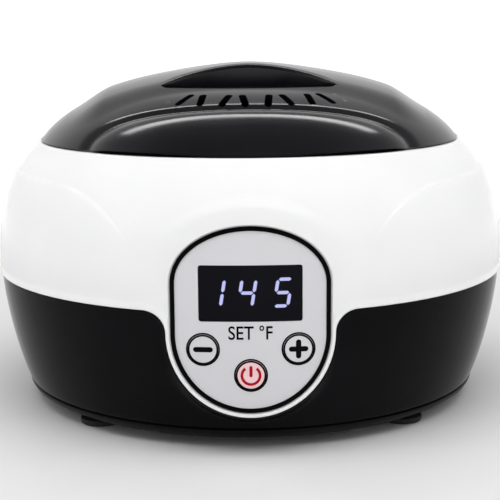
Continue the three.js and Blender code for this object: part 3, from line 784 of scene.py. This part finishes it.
def make_window():
    surface = Surface()
    wrapped_sheet(surface, window_line(0.08), [], WINDOW_PROUD, 1.6)
    surface.make("window_visual", "casing", "smoked_window", "display_window")


def make_key(label, middle, material=None):
    """A flat round key with a soft edge."""
    surface = Surface()
    section = [(0.01, 0.02), (2, 0.02), (4, 0.0), (5.0, -0.05), (KEY_R - 0.25, -0.12), (KEY_R - 0.05, -0.25),
               (KEY_R, -0.5), (KEY_R, -3.5)]
    surface.grid([on_panel(circle_line(middle, r), proud) for r, proud in section], closed=True)
    surface.make(f"{label}_key_visual", f"{label}_key", "button_grey", f"{label}_button", material)


def print_mark(name, body, shapes, material, proud=0.05):
    """Ink or light on the panel: each shape is an outline with its holes."""
    surface = Surface()
    for outer, holes in shapes:
        flat, triangles = patch(outer, holes, [], 0.8)
        surface.add(on_panel(flat, proud), triangles)
    surface.make(name, body, "panel_grey", material=material)


def ring_shape(middle, outer_r, inner_r):
    return circle_line(middle, outer_r), [circle_line(middle, inner_r)]


def power_arc(middle, radius, thickness, gap_degrees):
    """An open ring, with its gap at the top."""
    start, end = 90 + gap_degrees, 450 - gap_degrees
    return np.vstack([arc(middle, radius + thickness / 2, start, end, 40),
                      arc(middle, radius - thickness / 2, end, start, 40)])


SEGMENTS = {"a": ((0, 2), (1, 2)), "b": ((1, 1), (1, 2)), "c": ((1, 0), (1, 1)), "d": ((0, 0), (1, 0)),
            "f": ((0, 1), (0, 2)), "g": ((0, 1), (1, 1))}
DIGITS = {"1": "bc", "4": "bcfg", "5": "acdfg"}


def segment_line(name, x, z):
    """One lit segment as a long hexagon, leaning with its digit."""
    (ax, az), (bx, bz) = SEGMENTS[name]
    a = np.array([(ax - 0.5) * SEGMENT_WIDE, (az - 1) * SEGMENT_HIGH / 2])
    b = np.array([(bx - 0.5) * SEGMENT_WIDE, (bz - 1) * SEGMENT_HIGH / 2])
    along = (b - a) / np.linalg.norm(b - a)
    side = np.array([-along[1], along[0]]) * SEGMENT_THICK / 2
    a, b = a + along * 0.25, b - along * 0.25
    cut = along * SEGMENT_THICK / 2
    line = np.array([a, a + cut + side, b - cut + side, b, b - cut - side, a + cut - side])
    line[:, 0] += line[:, 1] * SEGMENT_LEAN
    return line + [x, z]


def text_mark(name, words, size, middle, material, body):
    """Printed words, slightly narrow and bold, wrapped onto the panel."""
    curve = bpy.data.curves.new(name, "FONT")
    curve.body = words
    curve.size = size
    curve.align_x = "CENTER"
    curve.align_y = "CENTER"
    curve.offset = 0.08
    shape = new_object(name, curve)
    depsgraph = bpy.context.evaluated_depsgraph_get()
    letters = bpy.data.meshes.new_from_object(shape.evaluated_get(depsgraph))
    bpy.data.objects.remove(shape)
    flat = np.array([(v.co.x * 0.86, v.co.y) for v in letters.vertices]) + middle
    surface = Surface()
    surface.add(on_panel(flat, PRINT_PROUD + 0.01), [list(p.vertices) for p in letters.polygons])
    bpy.data.meshes.remove(letters)
    surface.make(name, body, "panel_grey", material=material)


def make_key_marks(material, red):
    """The printed ring and outer rim of each key, and its sign."""
    for label, middle in (("minus", MINUS_KEY), ("plus", PLUS_KEY), ("power", POWER_KEY)):
        print_mark(f"{label}_ring_mark", f"{label}_key", [ring_shape(middle, 5.55, 4.9)], material, 0.03)
        print_mark(f"{label}_rim_mark", "casing", [ring_shape(middle, 6.2, 5.62)], material, PRINT_PROUD)
    print_mark("minus_bar_mark", "minus_key", [(bar_line(MINUS_KEY, 7.2, 1.95), [])], material)
    bars = [(bar_line(PLUS_KEY, 7.1, 1.95, standing), []) for standing in (False, True)]
    print_mark("plus_bar_mark", "plus_key", bars, material)
    stroke = bar_line((POWER_KEY[0], POWER_KEY[1] + 1.5), 4.2, 1.15, True)
    symbol = [(power_arc(POWER_KEY, 3.3, 1.0, 38), []), (stroke, [])]
    print_mark("power_symbol_mark", "power_key", symbol, red)


def make_digits(material):
    """The lit number, 145."""
    shapes = [(segment_line(segment, x, DIGIT_Z), [])
              for digit, x in (("1", -12.5), ("4", -1.2), ("5", 11.7)) for segment in DIGITS[digit]]
    print_mark("lit_digits", "casing", shapes, material, DIGIT_PROUD)


# --- well, pot and bail ---
def make_well():
    surface = Surface()
    outer = WELL_R + WELL_WALL
    rim = FLANGE_Z + WELL_WALL
    floor = WELL_FLOOR_Z + WELL_WALL
    outline = rounded([(0, WELL_FLOOR_Z, 0), (outer, WELL_FLOOR_Z, 4), (outer, FLANGE_Z, 0.4),
                       (FLANGE_R, FLANGE_Z, 0.3), (FLANGE_R, rim, 0.3), (WELL_R, rim, 1.0),
                       (WELL_R, floor, 4.5), (0, floor, 0)], 7)
    lathe(surface, outline, 160)
    surface.make("heating_well_visual", "casing", "bare_aluminium", "heating_well")


def make_pot():
    """The wax pot, with an ear on each side for its bail."""
    surface = Surface()
    inner = POT_R - POT_WALL
    rim = POT_RIM_Z + 1.2
    floor = POT_FLOOR_Z + POT_WALL
    outline = rounded([(0, POT_FLOOR_Z, 0), (POT_R, POT_FLOOR_Z, 2), (POT_R, POT_RIM_Z, 0.5),
                       (POT_RIM_R, POT_RIM_Z, 0.45), (POT_RIM_R, rim, 0.45), (inner, rim, 1.1),
                       (inner, floor, 1.6), (0, floor, 0)], 7)
    lathe(surface, outline, 160)
    hole = circle_line((0, BAIL_Z), BAIL_WIRE + 0.45, 24)
    foot = [(-EAR_HALF, POT_RIM_Z + 0.8), (EAR_HALF, POT_RIM_Z + 0.8)]
    ear = np.vstack([foot, arc((0, BAIL_Z - 0.8), EAR_HALF, 0, 180, 20)])
    flat, triangles = patch(ear, [hole], [], 0.8)
    for side in (-1, 1):
        for x in EAR_FACES:
            surface.add(sideways(flat, side * x), triangles)
        for loop in (ear, hole):
            surface.grid([sideways(loop, side * x) for x in EAR_FACES], closed=True)
    surface.make("wax_pot_visual", "pot", "pot_coating", "wax_pot")


def make_bail():
    """A wire bent into a half ring, with its ends turned out through the ears."""
    end = [(76, 0), (73.5, 0), (71, 0), (69.3, -0.3), (68.4, -1.4)]
    ring = [turned_place(BAIL_R, d) for d in np.linspace(86.5, -86.5, 60)]
    path = np.array([(x, y, BAIL_Z) for x, y in [*end, *ring, *[(-x, y) for x, y in end[::-1]]]])
    tangent = np.gradient(path, axis=0)
    tangent /= np.linalg.norm(tangent, axis=1, keepdims=True)
    side = np.cross(tangent, [0, 0, 1])
    section = circle_line((0, 0), BAIL_WIRE, 16)
    rings = [place + section[:, :1] * across + section[:, 1:] * [0, 0, 1]
             for place, across in zip(path, side)]
    surface = Surface()
    surface.grid([[path[0]] * 16, *rings, [path[-1]] * 16], closed=True)
    surface.make("bail_handle_visual", "bail", "steel", "bail_handle")


# --- feet, screws and the mains inlet ---
def make_foot(number, degrees):
    """A turned rubber foot with a hollow sole, and its neck and barb through the base plate."""
    surface = Surface()
    outline = rounded([(0, 0.5, 0), (4.6, 0.5, 0.3), (5, 0, 0.3), (7.4, 0, 0.4), (8, 0.7, 0.4),
                       (8, 2.4, 0.3), (2.8, 2.4, 0), (2.8, 5.3, 0), (3.9, 5.6, 0.2), (2.6, 7.4, 0.3),
                       (0, 7.4, 0)])
    lathe(surface, outline, 48, turned_place(FOOT_RING, degrees))
    surface.make(f"rubber_foot_visual_{number}", "casing", "foot_rubber", f"rubber_foot_{number}")


def make_screw(label, number, place, seat, radius, height, up):
    """A pan-head screw with a cross recess; up is 1 when the head faces up and -1 when it faces down."""
    rise = up * height
    top = seat + rise
    outline = rounded([(radius * 0.34, top - rise * 0.55, 0), (radius * 0.36, top, 0.08),
                       (radius * 0.8, top - rise * 0.08, 0.4), (radius, seat + rise * 0.3, 0.3),
                       (radius, seat, 0)])
    degrees = np.linspace(0, 360, 48, endpoint=False)
    cross = 1.75 * (0.62 + 0.38 * np.cos(np.radians(4 * degrees)))
    rows = [turned_row(r * (cross if i < 2 else 1), z, degrees) for i, (r, z) in enumerate(outline)]
    bottom = rows[0] * [0.05, 0.05, 1]
    surface = Surface()
    surface.grid(np.array([bottom, *rows]) + [*place, 0], closed=True)
    surface.make(f"{label}_visual_{number}", "casing", "steel", f"{label}_{number}")


def make_screws(label, ring, angles, **sizes):
    for number, degrees in enumerate(angles, 1):
        make_screw(label, number, turned_place(ring, degrees), **sizes)


def inlet_block(surface, half_x, half_z, fillet, section, opening, spacing):
    """A box with round corners and an opening in its face; section is (grow, y), ending at the face."""
    surface.grid([upright(box_line(INLET_MIDDLE, half_x + grow, half_z + grow, fillet), y)
                  for grow, y in section], closed=True)
    grow, face = section[-1]
    line = box_line(INLET_MIDDLE, half_x + grow, half_z + grow, fillet)
    flat, triangles = patch(line, [opening], [], spacing)
    surface.add(upright(flat, face), triangles)


def make_inlet_pad():
    """The flat pad on the black shell's back that carries the inlet."""
    surface = Surface()
    section = [(1.5, 96), (0.4, INLET_Y - 1.2), (0.1, INLET_Y - 0.35), (-0.25, INLET_Y)]
    inlet_block(surface, 17, 10, 2.5, section, box_line(INLET_MIDDLE, 12.3, 6.8, 1), 2)
    surface.make("inlet_pad", "casing", "black_gloss")


def socket_line(radius):
    return bar_line(INLET_MIDDLE, 2 * (SOCKET_HALF_GAP + radius), 2 * radius, steps=14)


def make_inlet():
    """A two-pin socket: its frame, its face, and the deep opening that the plug goes into."""
    surface = Surface()
    face = INLET_Y + 1.8
    mouth = SOCKET_R + 0.3
    section = [(0, INLET_Y + 0.05), (0, face - 0.4), (-0.15, face - 0.1), (-0.45, face)]
    inlet_block(surface, 14.5, 8.5, 2.2, section, socket_line(mouth), 1.5)
    socket = [(mouth, face), (SOCKET_R + 0.05, face - 0.35), (SOCKET_R, face - 0.8),
              (SOCKET_R, SOCKET_FLOOR_Y), (0.01, SOCKET_FLOOR_Y)]
    surface.grid([upright(socket_line(radius), y) for radius, y in socket], closed=True)
    surface.make("power_inlet_visual", "casing", "moulded_black", "power_inlet")


# --- materials ---
def set_inputs(tree, node, inputs):
    """Links the inputs that come from other nodes, and sets the others."""
    for socket, value in inputs.items():
        if isinstance(value, bpy.types.NodeSocket):
            tree.links.new(value, node.inputs[socket])
        else:
            node.inputs[socket].default_value = value


def add_node(tree, kind, output, inputs, **settings):
    """Adds a node with its settings and inputs, and gives back one of its outputs."""
    node = tree.nodes.new(kind)
    for setting, value in settings.items():
        setattr(node, setting, value)
    set_inputs(tree, node, inputs)
    return node.outputs[output]


def noise(tree, scale, detail=2.0, stretch=(1, 1, 1)):
    """Noise in the object's own space, its scale counted per metre."""
    place = add_node(tree, "ShaderNodeTexCoord", "Object", {})
    turn = add_node(tree, "ShaderNodeMapping", "Vector", {"Vector": place, "Scale": stretch})
    return add_node(tree, "ShaderNodeTexNoise", "Fac", {"Vector": turn, "Scale": scale, "Detail": detail})


def mapped(tree, value, low, high, at_low, at_high, curve="LINEAR"):
    """Goes from at_low to at_high as value goes from low to high."""
    ends = {"From Min": low, "From Max": high, "To Min": at_low, "To Max": at_high}
    return add_node(tree, "ShaderNodeMapRange", "Result", {"Value": value, **ends}, interpolation_type=curve)


def combined(tree, operation, first, second):
    return add_node(tree, "ShaderNodeMath", "Value", {0: first, 1: second}, operation=operation)


def tint(tree, value, dark, light):
    ramp = tree.nodes.new("ShaderNodeValToRGB")
    for element, position, colour in zip(ramp.color_ramp.elements, (0.3, 0.7), (dark, light)):
        element.position = position
        element.color = (*colour, 1)
    tree.links.new(value, ramp.inputs["Fac"])
    return ramp.outputs["Color"]


def new_material(name, inputs_from):
    """A material whose shader takes its inputs from inputs_from(tree)."""
    material = bpy.data.materials.new(name)
    material.use_nodes = True
    tree = material.node_tree
    set_inputs(tree, tree.nodes["Principled BSDF"], inputs_from(tree))
    return material


def finish(name, dark, light, rough, grain, depth, metallic=0.0, specular=0.5, stretch=(1, 1, 1)):
    """The common build: colour and roughness drift a little between two values each, and a fine relief
    has its grain counted per metre and its depth in millimetres."""
    def inputs(tree):
        drift = noise(tree, 26, 3)
        height = noise(tree, grain, 2, stretch)
        relief = {"Height": height, "Strength": 0.5, "Distance": depth * MM}
        return {"Base Color": tint(tree, drift, dark, light),
                "Roughness": mapped(tree, drift, 0.3, 0.7, *rough),
                "Normal": add_node(tree, "ShaderNodeBump", "Normal", relief),
                "Metallic": metallic,
                "Specular IOR Level": specular}

    return new_material(name, inputs)


def lit(name, colour, strength):
    """A dark surface that glows."""
    def inputs(tree):
        return {"Base Color": tint(tree, noise(tree, 900), (0.02, 0.02, 0.03), (0.04, 0.04, 0.05)),
                "Emission Color": (*colour, 1),
                "Emission Strength": strength}

    return new_material(name, inputs)


def grey(value, blue=0.0):
    return value, value, value + blue


OVERLAY_GREY = (0.65, 0.645, 0.67), (0.67, 0.665, 0.69)
SLOT_FINISH = {
    "black_gloss": finish("shell_black_abs", grey(0.003, 0.0005), grey(0.005, 0.001),
                          (0.1, 0.15), 1400, 0.004, specular=0.05),
    "white_gloss": finish("shell_white_abs", grey(0.84, 0.005), grey(0.87), (0.12, 0.18), 1400, 0.004,
                          specular=0.35),
    "panel_grey": finish("panel_overlay", *OVERLAY_GREY, (0.3, 0.4), 2600, 0.006),
    "button_grey": finish("key_overlay", *OVERLAY_GREY, (0.3, 0.38), 2600, 0.006),
    "smoked_window": finish("smoked_window", grey(0.002, 0.002), grey(0.004, 0.003),
                            (0.05, 0.09), 900, 0.001, specular=0.06),
    "moulded_black": finish("moulded_black", grey(0.006, 0.0005), grey(0.01, 0.0005),
                            (0.4, 0.55), 2200, 0.05, specular=0.3),
    "foot_rubber": finish("foot_rubber", grey(0.01), grey(0.018), (0.75, 0.9), 1500, 0.06),
    "bare_aluminium": finish("spun_aluminium", grey(0.6, 0.01), grey(0.7, 0.01), (0.3, 0.38), 900, 0.002,
                             metallic=1, stretch=(1, 1, 6)),
    "pot_coating": finish("pot_coating", (0.035, 0.036, 0.04), (0.055, 0.056, 0.06),
                          (0.32, 0.42), 2400, 0.02, metallic=0.3),
    "steel": finish("bright_steel", (0.55, 0.56, 0.57), (0.66, 0.66, 0.68),
                    (0.16, 0.26), 700, 0.006, metallic=1),
    "brass": finish("brass", (0.58, 0.4, 0.14), (0.7, 0.5, 0.2), (0.2, 0.3), 700, 0.006, metallic=1),
    "board": finish("circuit_board", (0.01, 0.075, 0.03), (0.02, 0.11, 0.05), (0.35, 0.45), 1800, 0.02),
    "mica": finish("mica", (0.34, 0.25, 0.13), (0.48, 0.37, 0.2), (0.4, 0.6), 300, 0.05),
    "fibre": finish("glass_fibre", (0.68, 0.64, 0.54), (0.82, 0.79, 0.7),
                    (0.85, 0.95), 700, 0.3, specular=0.2),
    "silicone": finish("silicone", (0.36, 0.045, 0.035), (0.44, 0.065, 0.05), (0.5, 0.65), 1600, 0.01),
    "wire_sleeve": finish("wire_sleeve", (0.58, 0.57, 0.52), (0.7, 0.69, 0.64), (0.5, 0.65), 1200, 0.02),
    "blue_case": finish("relay_case", (0.012, 0.06, 0.3), (0.02, 0.09, 0.38), (0.3, 0.4), 1500, 0.01),
}

# Finishes of single pieces that differ from their slot's.
lid_black = finish("lid_black_abs", grey(0.004, 0.0015), grey(0.007, 0.002), (0.13, 0.2), 1400, 0.004,
                   specular=0.3)
bezel_black = finish("bezel_black", grey(0.001), grey(0.002), (0.2, 0.3), 1500, 0.004, specular=0.03)
base_black = finish("base_black", grey(0.003, 0.0005), grey(0.005, 0.001), (0.3, 0.4), 2200, 0.03,
                    specular=0.08)
key_pink = finish("power_key_overlay", (0.88, 0.58, 0.62), (0.92, 0.63, 0.66), (0.3, 0.38), 2600, 0.006)
ink_black = finish("ink_black", grey(0.001), grey(0.003), (0.45, 0.55), 3000, 0.002, specular=0.05)
ink_red = finish("ink_red", (0.36, 0.004, 0.01), (0.42, 0.006, 0.014), (0.4, 0.5), 3000, 0.002, specular=0.1)
digit_light = lit("digit_light", (0.5, 0.52, 0.9), 0.95)

# --- the object ---
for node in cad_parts.values():
    slot = node.data.materials[0].name.split(".")[0]
    node.data.materials[0] = SLOT_FINISH[slot]

make_lid(lid_black)
make_upper_shell()
make_lower_shell()
make_base_plate(base_black)
for number, degrees in enumerate(FOOT_ANGLES, 1):
    make_foot(number, degrees)
make_screws("base_screw", SCREW_RING, SCREW_ANGLES, seat=2.3, radius=3, height=1.4, up=-1)

make_bezel(bezel_black)
make_panel_plate()
make_window()
make_key("minus", MINUS_KEY)
make_key("plus", PLUS_KEY)
make_key("power", POWER_KEY, key_pink)
make_key_marks(ink_black, ink_red)
text_mark("setting_words_mark", "SET °F", 7.0, (-0.1, 46.4), ink_black, "casing")
make_digits(digit_light)

make_well()
make_screws("well_screw", WELL_SCREW_RING, WELL_SCREW_ANGLES, seat=106.85, radius=2.4, height=1.5, up=1)
make_pot()
make_bail()
make_inlet_pad()
make_inlet()


# --- floor, light and camera, in metres ---
FLOOR_R = 7
SWEEP_R = 8
SWEEP_Z = 0.6
FLOOR_SIDES = 24


def make_floor_material():
    """A pale matt floor that glows softly away from the object, so that it runs into a white background."""
    material = finish("pale_floor", grey(0.8), grey(0.82), (0.6, 0.7), 40, 0.01)
    tree = material.node_tree
    place = add_node(tree, "ShaderNodeTexCoord", "Object", {})
    distance = add_node(tree, "ShaderNodeVectorMath", "Value", {0: place}, operation="LENGTH")
    glow = mapped(tree, distance, 0.12, 0.9, 0, 0.75, "SMOOTHSTEP")
    light = {"Emission Color": (1, 1, 1, 1), "Emission Strength": glow}
    set_inputs(tree, tree.nodes["Principled BSDF"], light)
    return material


def make_floor(material):
    """A round floor whose rim sweeps up far away, and so hides the horizon."""
    ring = [turned_place(1, side * 360 / FLOOR_SIDES) for side in range(FLOOR_SIDES)]
    points = [(x * r, y * r, z) for r, z in ((FLOOR_R, 0), (SWEEP_R, SWEEP_Z)) for x, y in ring]
    rim = [(i, (i + 1) % FLOOR_SIDES, FLOOR_SIDES + (i + 1) % FLOOR_SIDES, FLOOR_SIDES + i)
           for i in range(FLOOR_SIDES)]
    mesh = bpy.data.meshes.new("floor")
    mesh.from_pydata(points, [], [tuple(range(FLOOR_SIDES)), *rim])
    mesh.materials.append(material)
    new_object("floor", mesh)


def soft_light(name, place, target, size, power, mirrored=False):
    """A rectangular lamp that lights the matt surfaces or, if mirrored, only shows in the glossy ones."""
    lamp = bpy.data.lights.new(name, "AREA")
    lamp.shape = "RECTANGLE"
    lamp.size, lamp.size_y = size
    lamp.energy = power
    holder = new_object(name, lamp)
    holder.location = place
    holder.visible_glossy = mirrored
    holder.visible_diffuse = not mirrored
    holder.rotation_euler = (Vector(target) - Vector(place)).to_track_quat("-Z", "Y").to_euler()


def make_world():
    """A studio that is dim in front and overhead and bright behind and at the sides; only the glossy
    surfaces see how bright it is behind, so that the back isn't lit more strongly than the front."""
    world = bpy.data.worlds.new("studio")
    world.use_nodes = True
    tree = world.node_tree
    direction = add_node(tree, "ShaderNodeTexCoord", "Generated", {})
    towards_back = add_node(tree, "ShaderNodeSeparateXYZ", "Y", {"Vector": direction})
    upwards = add_node(tree, "ShaderNodeSeparateXYZ", "Z", {"Vector": direction})
    glossy = add_node(tree, "ShaderNodeLightPath", "Is Glossy Ray", {})
    back = mapped(tree, towards_back, -0.85, 0.1, 0.12, 1.0, "SMOOTHSTEP")
    above = mapped(tree, upwards, 0.3, 0.97, 1.0, 0.3, "SMOOTHSTEP")
    matt = mapped(tree, towards_back, 0.0, 0.6, 1.0, 0.7, "SMOOTHSTEP")
    share = combined(tree, "MAXIMUM", matt, glossy)
    strength = combined(tree, "MULTIPLY", combined(tree, "MULTIPLY", back, above), share)
    set_inputs(tree, tree.nodes["Background"], {"Color": (1, 1, 1, 1), "Strength": strength})
    bpy.context.scene.world = world


def make_camera():
    """A long lens in front of the object and a little above it, rolled by a small tilt."""
    data = bpy.data.cameras.new("camera")
    data.sensor_width = 36
    data.lens = 91.8
    data.clip_end = 50
    camera = new_object("camera", data)
    camera.location = (0, -0.55, 0.1584)
    aim = (Vector((0, 0, 0.0582)) - camera.location).to_track_quat("-Z", "Y")
    camera.rotation_euler = (aim.to_matrix() @ Matrix.Rotation(math.radians(-0.45), 3, "Z")).to_euler()
    bpy.context.scene.camera = camera


make_floor(make_floor_material())
soft_light("overhead_softbox", (0, -0.35, 1.1), (0, 0, 0.05), (1.4, 1.0), 10.6)
soft_light("left_softbox", (-0.9, -0.7, 0.6), (0, 0, 0.06), (0.7, 0.7), 0.9)
soft_light("right_softbox", (0.9, -0.7, 0.6), (0, 0, 0.06), (0.7, 0.7), 0.9)
soft_light("low_fill", (0, -1.0, 0.12), (0, 0, 0.07), (1.0, 0.16), 1.0)
soft_light("back_strip", (0, 0.58, 1.12), (0, 0, 0.12), (1.5, 0.2), 9, mirrored=True)
make_world()
make_camera()
bpy.context.scene.view_settings.view_transform = "Standard"
